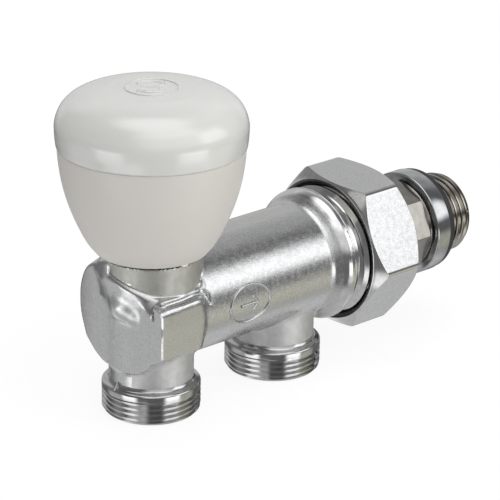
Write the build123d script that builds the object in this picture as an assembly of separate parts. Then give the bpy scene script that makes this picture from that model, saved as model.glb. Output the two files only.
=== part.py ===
from build123d import *
import math
import os

# Twin-port radiator valve with a smooth hand knob and a swivel union tail.
# All sizes in millimetres. +Z runs up the front port, the boss and the knob;
# +X runs along the horizontal barrel towards the tail. The origin is the centre
# of the front port's lower face, so the valve stands on its two ports at Z = 0.

# ---- driving dimensions -------------------------------------------------------
PORT_PITCH = 40.0        # centre distance of the two ports
PORT_R = 12.0            # port thread, 24 mm over the crests
PORT_TPI_PITCH = 25.4 / 19.0
PORT_THREAD_DEPTH = 0.78
PORT_COLLAR_TOP = 7.8
PORT_NECK_R = 10.3
PORT_BORE_R = 8.0
PORT_BORE_DEPTH = 9.5
BARREL_Z = 26.8          # height of the barrel axis
BARREL_R = 14.05
FRONT_X = -10.4          # flat front face
FRONT_R = 14.85
PAD_Y = 15.05            # side pads at the front face; they taper towards the barrel
PAD_TAPER = 0.04
PAD_Z0, PAD_Z1 = 19.3, 31.0
PAD_END_X = 5.1
BULGE_R = 12.9           # the boss swells under its turned band
BOSS_R = 12.2
BOSS_TOP = 40.5
CHAMBER_R = 8.6
CHAMBER_FLOOR = 20.6
SEAT_R = 5.0
SEAT_TOP = 21.5
BONNET_THREAD_R = 9.0
INNER_BORE_R = 10.9      # return way round the flow tube
INNER_BORE_X = 17.5
WEB_BORE_R = 6.05
BODY_END_X = 62.5
UNION_THREAD_R = 16.53   # 1 inch parallel pipe thread, over the crests
UNION_PITCH = 25.4 / 11.0
COLLAR_R = 16.84
NUT_AF = 37.0
NUT_X0, NUT_X1 = 57.0, 72.8
NUT_TURN_DEG = -4.84     # stands as screwed home
NUT_THREAD_R = 16.6
NUT_END_BORE_R = 12.7
TAIL_X0 = 60.3
TAIL_NECK_R = 12.4
WRENCH_AF = 22.9         # octagonal wrench section
WRENCH_X0, WRENCH_X1 = 73.2, 83.8
FLANGE_R = 13.55
FLANGE_X0, FLANGE_X1 = 84.9, 89.7
SEAL_X1 = 91.5
TAIL_THREAD_R = 10.4775  # half-inch parallel pipe thread
TAIL_PITCH = 25.4 / 14.0
TAIL_THREAD_DEPTH = 1.0
TAIL_END_X = 100.6
TAIL_BORE_R = 7.9
TUBE_R = 6.0
TUBE_BORE_R = 4.6
TUBE_X0, TUBE_X1 = 9.6, 90.0
SPINDLE_LEAD = 1.5       # left-hand lift thread
LIFT = 3.75              # travel of the plug from shut to open
KNOB_RIM_Z = 41.1
SEAM_Z = 67.2
CUP_R = 22.3             # outer radius of the cup just under the seam
CAP_R = 22.6             # outer radius of the cap just over the seam
KNOB_TOP = 81.3
WALL = 1.8

os.makedirs("parts", exist_ok=True)


def rev_z(pts, x0=0.0):
    """Solid of revolution about a vertical axis from (radius, height) points."""
    face = Plane.XZ * make_face(Polyline(*pts, close=True))
    return Pos(x0, 0, 0) * revolve(face, Axis.Z)


def rev_x(pts):
    """Solid of revolution about the barrel axis from (x, radius) points."""
    face = Plane.XZ * make_face(Polyline(*pts, close=True))
    return Pos(0, 0, BARREL_Z) * revolve(face, Axis.X)


def tube_z(r, z0, z1, x0=0.0):
    return Pos(x0, 0, (z0 + z1) / 2) * Cylinder(r, z1 - z0)


def tube_x(r, x0, x1):
    return Pos((x0 + x1) / 2, 0, BARREL_Z) * Rot(0, 90, 0) * Cylinder(r, x1 - x0)


def crests(a0, pitch, count, r, depth, flat=0.3, root=0.22):
    """(axial, radius) points of ring-shaped V crests, starting on a crest."""
    pts = []
    for i in range(count):
        a = a0 + i * pitch
        pts += [(a, r), (a + flat, r)]
        mid = a + flat + (pitch - flat) / 2
        pts += [(mid - root / 2, r - depth), (mid + root / 2, r - depth)]
    pts.append((a0 + count * pitch, r))
    return pts


def write(shape, name):
    shape.label = name
    export_step(shape, "parts/" + name + ".step")
    print(name, round(shape.volume), len(shape.solids()))


# ---- valve body: one hot-stamped forging, machined -----------------------------
barrel = rev_x([
    (FRONT_X, 0), (FRONT_X, FRONT_R - 0.3), (FRONT_X + 0.3, FRONT_R), (-7, FRONT_R - 0.1),
    (5, BARREL_R), (46.4, BARREL_R), (47.6, BARREL_R + 0.35), (48.9, 15.4),
    (50.0, 16.25), (51.0, COLLAR_R), (52.4, COLLAR_R), (53.5, 15.7), (53.5, 15.2),
    (55.0, 15.2)]
    + crests(55.6, UNION_PITCH, 2, UNION_THREAD_R, 1.2, 0.5, 0.4)
    + [(61.4, UNION_THREAD_R), (BODY_END_X, 15.5), (BODY_END_X, 0)])
front_section = Plane.YZ * make_face(Polyline(
    (-PAD_Y, PAD_Z0), (-PAD_Y, PAD_Z1 - 0.3), (-PAD_Y + 0.5, PAD_Z1 + 0.3), (-13.3, PAD_Z1 + 0.8),
    (-10.5, 34.5), (10.5, 34.5), (13.3, PAD_Z1 + 0.8), (PAD_Y - 0.5, PAD_Z1 + 0.3),
    (PAD_Y, PAD_Z1 - 0.3), (PAD_Y, PAD_Z0), (4.9, 13.8), (-4.9, 13.8), close=True))
front_block = Pos(FRONT_X, 0, 0) * extrude(front_section, 17, dir=(1, 0, 0))
pad_outline = Plane.XZ * make_face(Polyline(
    (FRONT_X - 1, 10), (2.6, 10), (PAD_END_X - 0.8, PAD_Z0), (PAD_END_X - 0.2, 22), (PAD_END_X, 25.2),
    (PAD_END_X - 0.2, 28.4), (PAD_END_X - 0.8, PAD_Z1), (2.6, PAD_Z1 + 4), (FRONT_X - 1, PAD_Z1 + 4), close=True))
pad_prism = extrude(pad_outline, 20, both=True)
y_end = PAD_Y - PAD_TAPER * (PAD_END_X - FRONT_X)
pad_plan = Plane.XY * make_face(Polyline(
    (FRONT_X, -PAD_Y), (PAD_END_X + 1, -y_end), (PAD_END_X + 1, y_end), (-7.0, PAD_Y - PAD_TAPER * 3.4),
    (FRONT_X, 11.8), close=True))
front_block = front_block & pad_prism & extrude(pad_plan, 50)
bulge = rev_z([(0, 21.5), (8.0, 21.5), (9.7, 23), (10.7, 25), (11.6, 27), (12.25, 29), (12.65, 31),
               (BULGE_R, 33.5), (BULGE_R, 38.1), (BOSS_R, 38.9), (0, 38.9)]) & tube_x(BARREL_R, -13.5, 6)
boss = rev_z([(0, 24), (10.3, 24), (10.9, 27), (11.7, 31), (BOSS_R, 34),
              (BOSS_R, BOSS_TOP - 0.3), (BOSS_R - 0.3, BOSS_TOP), (0, BOSS_TOP)]) + bulge
body = barrel + front_block + boss


def port(x0):
    outer = [(0, 0), (PORT_R - 0.45, 0)]
    ring = crests(0.45, PORT_TPI_PITCH, 4, PORT_R, PORT_THREAD_DEPTH, 0.3, 0.2)
    outer += [(r, a) for a, r in ring]
    outer += [(PORT_R, PORT_COLLAR_TOP - 0.5), (PORT_R - 0.5, PORT_COLLAR_TOP),
              (PORT_NECK_R + 0.5, PORT_COLLAR_TOP + 0.2), (PORT_NECK_R, PORT_COLLAR_TOP + 0.9),
              (PORT_NECK_R, 20), (0, 20)]
    return rev_z(outer, x0)


body += port(0) + port(PORT_PITCH)
# waterways
body -= tube_z(PORT_BORE_R, -1, PORT_BORE_DEPTH)
body -= tube_z(6.0, 0, 17.0)
body -= tube_z(SEAT_R, 10, SEAT_TOP + 1)
body -= rev_z([(SEAT_R + 1.4, CHAMBER_FLOOR), (CHAMBER_R, CHAMBER_FLOOR), (CHAMBER_R, 33.0),
               (BONNET_THREAD_R, 33.0), (BONNET_THREAD_R, 39.2), (10.3, 39.2), (10.3, BOSS_TOP),
               (11.1, BOSS_TOP), (11.1, 43), (0, 43), (0, SEAT_TOP), (SEAT_R + 1.4, SEAT_TOP)])
body -= tube_z(PORT_BORE_R, -1, PORT_BORE_DEPTH, PORT_PITCH)
body -= tube_z(6.5, 0, 22, PORT_PITCH)
body -= tube_x(WEB_BORE_R, 4, INNER_BORE_X + 1)
body -= rev_x([(INNER_BORE_X, 0), (INNER_BORE_X, INNER_BORE_R - 1), (INNER_BORE_X + 1, INNER_BORE_R),
               (BODY_END_X - 2.6, INNER_BORE_R), (BODY_END_X, INNER_BORE_R + 2.6),
               (BODY_END_X + 1, INNER_BORE_R + 2.6), (BODY_END_X + 1, 0)])
write(body, "valve_body")

# ---- headwork ------------------------------------------------------------------
bonnet = rev_z([(0, 29.5), (8.4, 29.5), (8.4, 33.02), (BONNET_THREAD_R - 0.03, 33.02),
                (BONNET_THREAD_R - 0.03, BOSS_TOP), (0, BOSS_TOP)])
hex_flange = Pos(0, 0, BOSS_TOP) * extrude(RegularPolygon(18 / 2, 6, major_radius=False), 5.0)
hex_flange &= rev_z([(0, BOSS_TOP), (9.6, BOSS_TOP), (10.4, BOSS_TOP + 0.5), (10.4, 44.8),
                     (9.4, 45.5), (0, 45.5)])
bonnet += hex_flange + tube_z(8.2, 45.5, 50.5)
bonnet -= Pos(0, 0, 29) * extrude(RegularPolygon(11.2 / 2, 6, major_radius=False), 11.5)
bonnet -= tube_z(4.05, 40, 44.5)
bonnet -= tube_z(5.4, 44.0, 46.6)
bonnet -= tube_z(6.0, 46.5, 51)
write(bonnet, "bonnet")

write(rev_z([(9.05, 39.3), (10.0, 39.3), (10.25, 39.6), (10.25, 40.2), (10.0, 40.48),
             (9.05, 40.48)]), "bonnet_o_ring")

gland = tube_z(5.97, 46.5, 50.5)
gland += Pos(0, 0, 50.5) * extrude(RegularPolygon(13 / 2, 6, major_radius=False), 2.0)
gland &= rev_z([(0, 46.5), (5.6, 46.5), (6.0, 46.9), (6.0, 50.5), (7.6, 50.5), (7.6, 52.0),
                (6.7, 52.5), (0, 52.5)])
gland -= tube_z(3.56, 46, 53)
write(gland, "gland_nut")

write(tube_z(5.3, 45.65, 46.45) - tube_z(3.7, 45, 47), "thrust_washer")

spindle = rev_z([(0, 30.8), (3.0, 30.8), (3.5, 31.3), (3.5, 40.3), (4.0, 40.6), (4.0, 44.02),
                 (5.2, 44.02), (5.2, 45.6), (3.5, 45.6), (3.5, 47.6), (2.6, 47.6), (2.6, 48.9),
                 (3.5, 48.9), (3.5, 50.1), (2.6, 50.1), (2.6, 51.4), (3.5, 51.4), (3.5, 53.2),
                 (0, 53.2)])
drive = Pos(0, 0, 53.2) * extrude(Rectangle(5.4, 5.4), 6.6)
drive &= rev_z([(0, 53.2), (3.5, 53.2), (3.5, 59.3), (3.0, 59.8), (0, 59.8)])
spindle += drive
spindle -= tube_z(1.5, 52.6, 60)
write(spindle, "spindle")


def o_ring_z(r_in, r_out, z0, z1, c=0.35):
    return rev_z([(r_in, z0 + c), (r_in + c, z0), (r_out - c, z0), (r_out, z0 + c),
                  (r_out, z1 - c), (r_out - c, z1), (r_in + c, z1), (r_in, z1 - c)])


rings = [o_ring_z(2.63, 3.53, 47.65, 48.85), o_ring_z(2.63, 3.53, 50.15, 51.35)]
write(Compound(children=rings), "spindle_o_rings")

# ---- lift plug -----------------------------------------------------------------
carrier = Pos(0, 0, 24.8) * extrude(RegularPolygon(11.0 / 2, 6, major_radius=False), 11.2)
carrier += rev_z([(0, 23.5), (7.4, 23.5), (7.4, 24.6), (7.0, 25.0), (0, 25.0)])
carrier += rev_z([(7.0, 22.0), (7.4, 22.0), (7.4, 23.6), (7.0, 23.6)])
carrier -= tube_z(3.56, 26.5, 37)
carrier -= tube_z(1.5, 23, 25.6)
write(carrier, "plug_carrier")

write(rev_z([(1.6, 21.55), (6.6, 21.55), (6.95, 21.9), (6.95, 23.5), (1.6, 23.5)]), "seat_washer")
write(rev_z([(1.55, 20.95), (3.0, 20.95), (3.5, 21.2), (3.5, 21.55), (1.55, 21.55)]),
      "washer_retainer")
screw = rev_z([(0, 19.4), (1.9, 19.4), (2.6, 20.1), (2.6, 20.95), (1.47, 20.95), (1.47, 25.2),
               (0, 25.2)])
screw -= Pos(0, 0, 19.7) * Box(6, 0.7, 0.8)
write(screw, "washer_screw")

# ---- knob ----------------------------------------------------------------------
outer_pts = [(13.45, KNOB_RIM_Z), (15.65, 44.0), (17.7, 48.0), (19.35, 52.0), (20.65, 56.0),
             (21.55, 60.0), (22.1, 64.0), (CUP_R, SEAM_Z - 0.35)]
inner_pts = [(20.45, 59.6), (18.9, 56.0), (17.5, 52.0), (15.85, 48.0), (13.85, 44.0),
             (12.0, KNOB_RIM_Z)]
with BuildSketch(Plane.XZ) as cup_sketch:
    with BuildLine():
        Spline(*outer_pts)
        Line(outer_pts[-1], (CUP_R - 0.35, SEAM_Z))
        Line((CUP_R - 0.35, SEAM_Z), (20.5, SEAM_Z))
        Line((20.5, SEAM_Z), (20.5, 60.5))
        Line((20.5, 60.5), (5.0, 60.5))
        Line((5.0, 60.5), (5.0, 53.2))
        Line((5.0, 53.2), (7.6, 53.2))
        Line((7.6, 53.2), (7.9, 58.6))
        Line((7.9, 58.6), (19.6, 58.6))
        Spline((19.6, 58.6), *inner_pts[1:])
        Line(inner_pts[-1], outer_pts[0])
    make_face()
cup = revolve(cup_sketch.sketch, Axis.Z)
inside = rev_z([(7.0, 53.2), (18.2, 53.2), (19.9, 58.7), (7.0, 58.7)])
for k in range(6):
    rib = Rot(0, 0, 60 * k) * Pos(13.5, 0, 56) * Box(14, 1.4, 6)
    cup += rib & inside
write(cup, "knob_shell")

cap_pts = [(CAP_R, SEAM_Z + 0.45), (22.82, 69.5), (22.9, 72.0), (22.45, 74.4), (21.4, 76.5),
           (19.5, 78.4), (16.5, 79.9), (12.0, 80.8), (6.0, 81.22), (0, KNOB_TOP)]
cap_in = [(0, 79.4), (6.0, 79.3), (12.0, 78.9), (16.0, 78.1), (18.3, 77.0), (19.9, 75.4),
          (20.7, 73.4), (21.0, 71.5), (20.9, 69.6)]
with BuildSketch(Plane.XZ) as cap_sketch:
    with BuildLine():
        Line((20.9, SEAM_Z + 0.05), (CAP_R - 0.4, SEAM_Z + 0.05))
        Line((CAP_R - 0.4, SEAM_Z + 0.05), cap_pts[0])
        Spline(*cap_pts, tangents=[(0.05, 1), (-1, 0)])
        Line(cap_pts[-1], cap_in[0])
        Spline(*cap_in)
        Line(cap_in[-1], (19.4, 68.6))
        Line((19.4, 68.6), (19.4, 61.6))
        Line((19.4, 61.6), (20.2, 61.6))
        Line((20.2, 61.6), (20.45, 62.4))
        Line((20.45, 62.4), (20.45, SEAM_Z + 0.05))
        Line((20.45, SEAM_Z + 0.05), (20.9, SEAM_Z + 0.05))
    make_face()
cap = revolve(cap_sketch.sketch, Axis.Z)
write(cap, "knob_cap")

insert = tube_z(4.98, 53.25, 60.5)
for k in range(16):
    insert -= Rot(0, 0, 22.5 * k) * Pos(5.0, 0, 57) * Box(0.5, 0.6, 8)
insert -= Pos(0, 0, 52) * extrude(Rectangle(5.46, 5.46) & Circle(3.6), 10)
write(insert, "knob_insert")
write(tube_z(4.6, 60.5, 61.3) - tube_z(1.65, 60, 62), "knob_screw_washer")
kscrew = rev_z([(0, 53.4), (1.47, 53.4), (1.47, 61.3), (2.8, 61.3), (2.8, 62.6), (2.2, 63.3),
                (0, 63.3)])
kscrew -= Pos(0, 0, 63.0) * Box(4.2, 0.7, 1.2) + Pos(0, 0, 63.0) * Box(0.7, 4.2, 1.2)
write(kscrew, "knob_screw")

# ---- flow tube: carries the supply past the rear port ---------------------------
flow = rev_x([(TUBE_X0, TUBE_BORE_R), (TUBE_X0, TUBE_R - 0.4), (TUBE_X0 + 0.4, TUBE_R),
              (12.6, TUBE_R), (12.6, 5.1), (14.2, 5.1), (14.2, TUBE_R), (INNER_BORE_X + 0.02, TUBE_R),
              (INNER_BORE_X + 0.02, 7.2), (19.0, 7.2), (19.0, TUBE_R), (TUBE_X1, TUBE_R),
              (TUBE_X1, TUBE_BORE_R)])
write(flow, "flow_tube")
write(rev_x([(12.7, 5.5), (13.0, 5.13), (13.8, 5.13), (14.1, 5.5), (14.1, 5.7), (13.8, 6.03),
             (13.0, 6.03), (12.7, 5.7)]), "flow_tube_o_ring")

# ---- union ---------------------------------------------------------------------
tail_pts = [(TAIL_X0, TAIL_BORE_R), (TAIL_X0, 11.0), (60.9, 11.6), (60.9, 10.9), (62.1, 10.9), (62.1, 12.8), (62.7, 13.4),
            (64.4, 13.4), (64.4, 11.6), (66.4, 11.6), (66.4, TAIL_NECK_R), (WRENCH_X0, TAIL_NECK_R),
            (WRENCH_X0, 12.0), (WRENCH_X1, 12.0), (WRENCH_X1, 11.3), (FLANGE_X0, 11.3),
            (FLANGE_X0, FLANGE_R - 0.35), (FLANGE_X0 + 0.35, FLANGE_R),
            (FLANGE_X1 - 0.3, FLANGE_R), (FLANGE_X1, FLANGE_R - 0.3), (FLANGE_X1, 9.9),
            (SEAL_X1 + 0.1, 9.9)]
tail_pts += crests(SEAL_X1 + 0.6, TAIL_PITCH, 4, TAIL_THREAD_R, TAIL_THREAD_DEPTH, 0.4, 0.35)
tail_pts += [(TAIL_END_X - 0.75, TAIL_THREAD_R), (TAIL_END_X, TAIL_THREAD_R - 0.75),
             (TAIL_END_X, TAIL_BORE_R)]
tail_blank = rev_x(tail_pts)
octagon = Plane.YZ * Rot(0, 0, -1.73) * RegularPolygon(WRENCH_AF / 2, 8, major_radius=False)
wrench = Pos(WRENCH_X0, 0, BARREL_Z) * extrude(octagon, WRENCH_X1 - WRENCH_X0, dir=(1, 0, 0))
wrench &= rev_x([(WRENCH_X0, 0), (WRENCH_X0, 11.9), (WRENCH_X0 + 0.6, 12.5),
                 (WRENCH_X1 - 0.6, 12.5), (WRENCH_X1, 11.9), (WRENCH_X1, 0)])
core = tube_x(TAIL_BORE_R, 50, 110)
mid = rev_x([(WRENCH_X0 - 0.01, 0), (WRENCH_X0 - 0.01, 20), (WRENCH_X1 + 0.01, 20),
             (WRENCH_X1 + 0.01, 0)])
tail = (tail_blank - mid) + (wrench + tube_x(11.0, WRENCH_X0 - 0.02, WRENCH_X1 + 0.02) - core)
write(tail, "tail_piece")

write(rev_x([(60.98, 11.3), (61.2, 10.95), (61.8, 10.95), (62.02, 11.3), (62.02, 12.2),
             (61.55, 12.32), (60.98, 11.75)]), "tail_o_ring")
write(rev_x([(FLANGE_X1 + 0.02, 10.6), (FLANGE_X1 + 0.02, 13.0), (FLANGE_X1 + 0.3, 13.3),
             (SEAL_X1 - 0.3, 13.3), (SEAL_X1, 13.0), (SEAL_X1, 10.6)]), "flange_seal")
snap = rev_x([(64.5, 11.65), (64.5, 13.9), (64.8, 14.2), (66.0, 14.2), (66.3, 13.9), (66.3, 11.65)])
snap -= Pos(65.4, 0, BARREL_Z + 13) * Box(3, 3.0, 6)
write(snap, "snap_ring")

hexagon = Plane.YZ * Rot(0, 0, -NUT_TURN_DEG) * RegularPolygon(
    NUT_AF / 2, 6, major_radius=False)
nut = Pos(NUT_X0, 0, BARREL_Z) * extrude(hexagon, NUT_X1 - NUT_X0, dir=(1, 0, 0))
nut &= rev_x([(NUT_X0, 0), (NUT_X0, 18.1), (NUT_X0 + 0.2, 18.3), (NUT_X0 + 2.8, 21.6),
              (NUT_X1 - 3.2, 21.6), (NUT_X1 - 0.25, 18.3), (NUT_X1, 18.0), (NUT_X1, 0)])
nut -= rev_x([(NUT_X0 - 1, 0), (NUT_X0 - 1, 17.5), (NUT_X0, 17.5), (NUT_X0 + 0.9, NUT_THREAD_R),
              (66.5, NUT_THREAD_R), (66.5, NUT_END_BORE_R), (NUT_X1 - 0.5, NUT_END_BORE_R),
              (NUT_X1, NUT_END_BORE_R + 0.5), (NUT_X1 + 1, NUT_END_BORE_R + 0.5), (NUT_X1 + 1, 0)])
write(nut, "union_nut")
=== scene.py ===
"""Radiator valve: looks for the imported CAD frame. Lengths inside the helpers are in millimetres in the row frame."""
import math

import bpy
import bmesh
import numpy as np
from mathutils import Matrix, Vector


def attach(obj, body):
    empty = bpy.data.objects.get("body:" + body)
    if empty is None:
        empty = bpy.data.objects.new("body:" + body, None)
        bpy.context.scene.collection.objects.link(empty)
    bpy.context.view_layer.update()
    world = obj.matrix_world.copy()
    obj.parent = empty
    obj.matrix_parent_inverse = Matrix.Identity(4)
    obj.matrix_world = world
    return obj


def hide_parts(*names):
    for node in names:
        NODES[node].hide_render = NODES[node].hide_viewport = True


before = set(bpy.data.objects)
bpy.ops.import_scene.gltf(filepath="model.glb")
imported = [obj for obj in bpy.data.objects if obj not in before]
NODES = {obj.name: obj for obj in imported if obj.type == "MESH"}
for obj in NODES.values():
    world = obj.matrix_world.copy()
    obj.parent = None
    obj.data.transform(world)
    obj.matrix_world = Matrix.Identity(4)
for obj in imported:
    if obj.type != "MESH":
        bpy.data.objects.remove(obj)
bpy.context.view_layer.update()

ZC = 26.8
FRONT_X = -10.4
PITCH_PORTS = 40.0


# ------------------------------------------------------------------ mesh helpers
def make_object(name, verts_mm, faces, sharp_deg=32.0, slots=None, face_slots=None):
    me = bpy.data.meshes.new(name)
    v = np.asarray(verts_mm, float) * 0.001
    me.from_pydata(v.tolist(), [], [tuple(int(i) for i in f) for f in faces])
    me.validate()
    bm = bmesh.new()
    bm.from_mesh(me)
    bmesh.ops.remove_doubles(bm, verts=bm.verts, dist=1e-7)
    bmesh.ops.recalc_face_normals(bm, faces=bm.faces)
    for f in bm.faces:
        f.smooth = True
    if sharp_deg is not None:
        lim = math.radians(sharp_deg)
        for e in bm.edges:
            if len(e.link_faces) == 2 and e.calc_face_angle(0.0) > lim:
                e.smooth = False
    bm.to_mesh(me)
    bm.free()
    ob = bpy.data.objects.new(name, me)
    bpy.context.scene.collection.objects.link(ob)
    return ob


def grid_mesh(rows, close_u=True, close_v=True):
    """rows: array (n, m, 3). Quads between rows (v) and along a row (u)."""
    n, m, _ = rows.shape
    verts = rows.reshape(-1, 3)
    faces = []
    nv = n if close_v else n - 1
    mu = m if close_u else m - 1
    for i in range(nv):
        a, b = i * m, ((i + 1) % n) * m
        for j in range(mu):
            k = (j + 1) % m
            faces.append((a + j, a + k, b + k, b + j))
    return verts, faces


def lathe(name, pts, axis="z", seg=160, centre=(0.0, 0.0), sharp=32.0, closed=True, rfun=None):
    """Closed ring section pts [(axial, radius)] turned about a vertical axis at x = centre[0] or about the barrel axis.
    rfun(axial, radius, angle) may change the radius."""
    p = np.asarray(pts, float)
    th = np.linspace(0, 2 * math.pi, seg, endpoint=False)
    a = np.repeat(p[:, :1], seg, 1)
    r = np.repeat(p[:, 1:2], seg, 1)
    t = np.repeat(th[None, :], len(p), 0)
    if rfun is not None:
        a, r = rfun(a, r, t)
    if axis == "z":
        xyz = np.stack([centre[0] + r * np.cos(t), centre[1] + r * np.sin(t), a], -1)
    else:
        xyz = np.stack([a, r * np.cos(t), ZC + r * np.sin(t)], -1)
    v, f = grid_mesh(xyz, True, closed)
    return make_object(name, v, f, sharp)


def arc(c, r, a0, a1, n):
    """Points on an arc in (axial, radius), angles in degrees."""
    return [(c[0] + r * math.cos(math.radians(a)), c[1] + r * math.sin(math.radians(a)))
            for a in np.linspace(a0, a1, n)]


def round_path(pts, radii, n=5):
    """Closed polygon of (a, r) with each corner rounded by its radius."""
    out = []
    m = len(pts)
    for i in range(m):
        p, q, s = (np.array(pts[(i + k - 1) % m], float) for k in range(3))
        r = radii[i] if isinstance(radii, (list, tuple)) else radii
        u, w = p - q, s - q
        lu, lw = np.linalg.norm(u), np.linalg.norm(w)
        if r <= 0 or lu < 1e-9 or lw < 1e-9:
            out.append(tuple(q))
            continue
        u, w = u / lu, w / lw
        c = float(np.clip(u @ w, -1, 1))
        ang = math.acos(c)
        if ang > math.radians(176):
            out.append(tuple(q))
            continue
        d = min(r / math.tan(ang / 2), 0.48 * lu, 0.48 * lw)
        for k in range(n + 1):
            t = k / n
            b = (1 - t) ** 2 * (q + u * d) + 2 * t * (1 - t) * q + t ** 2 * (q + w * d)
            out.append((float(b[0]), float(b[1])))
    return out


# ------------------------------------------------------------------ distance fields
def smin(a, b, k):
    h = np.clip(0.5 + 0.5 * (b - a) / k, 0, 1)
    return b * (1 - h) + a * h - k * h * (1 - h)


def smax(a, b, k):
    return -smin(-a, -b, k)


def interp(x, xs, ys):
    return np.interp(x, xs, ys)


PAD_Y = 15.05
CHANNEL = [(-9.6, -11.8, 29.4, 0.20), (-8.8, -12.2, 31.5, 0.45), (-6.5, -13.1, 32.3, 0.72), (-2.0, -13.4, 32.45, 0.78),
           (2.2, -13.2, 32.7, 0.80), (4.8, -12.9, 32.4, 0.80), (6.1, -12.9, 31.4, 0.65), (6.6, -13.5, 29.8, 0.25)]
NOSE = [(-8.6, 2.0, 35.5, 4.2), (-9.3, -1.6, 29.6, 3.6), (-8.6, -4.2, 28.0, 3.0)]


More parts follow.
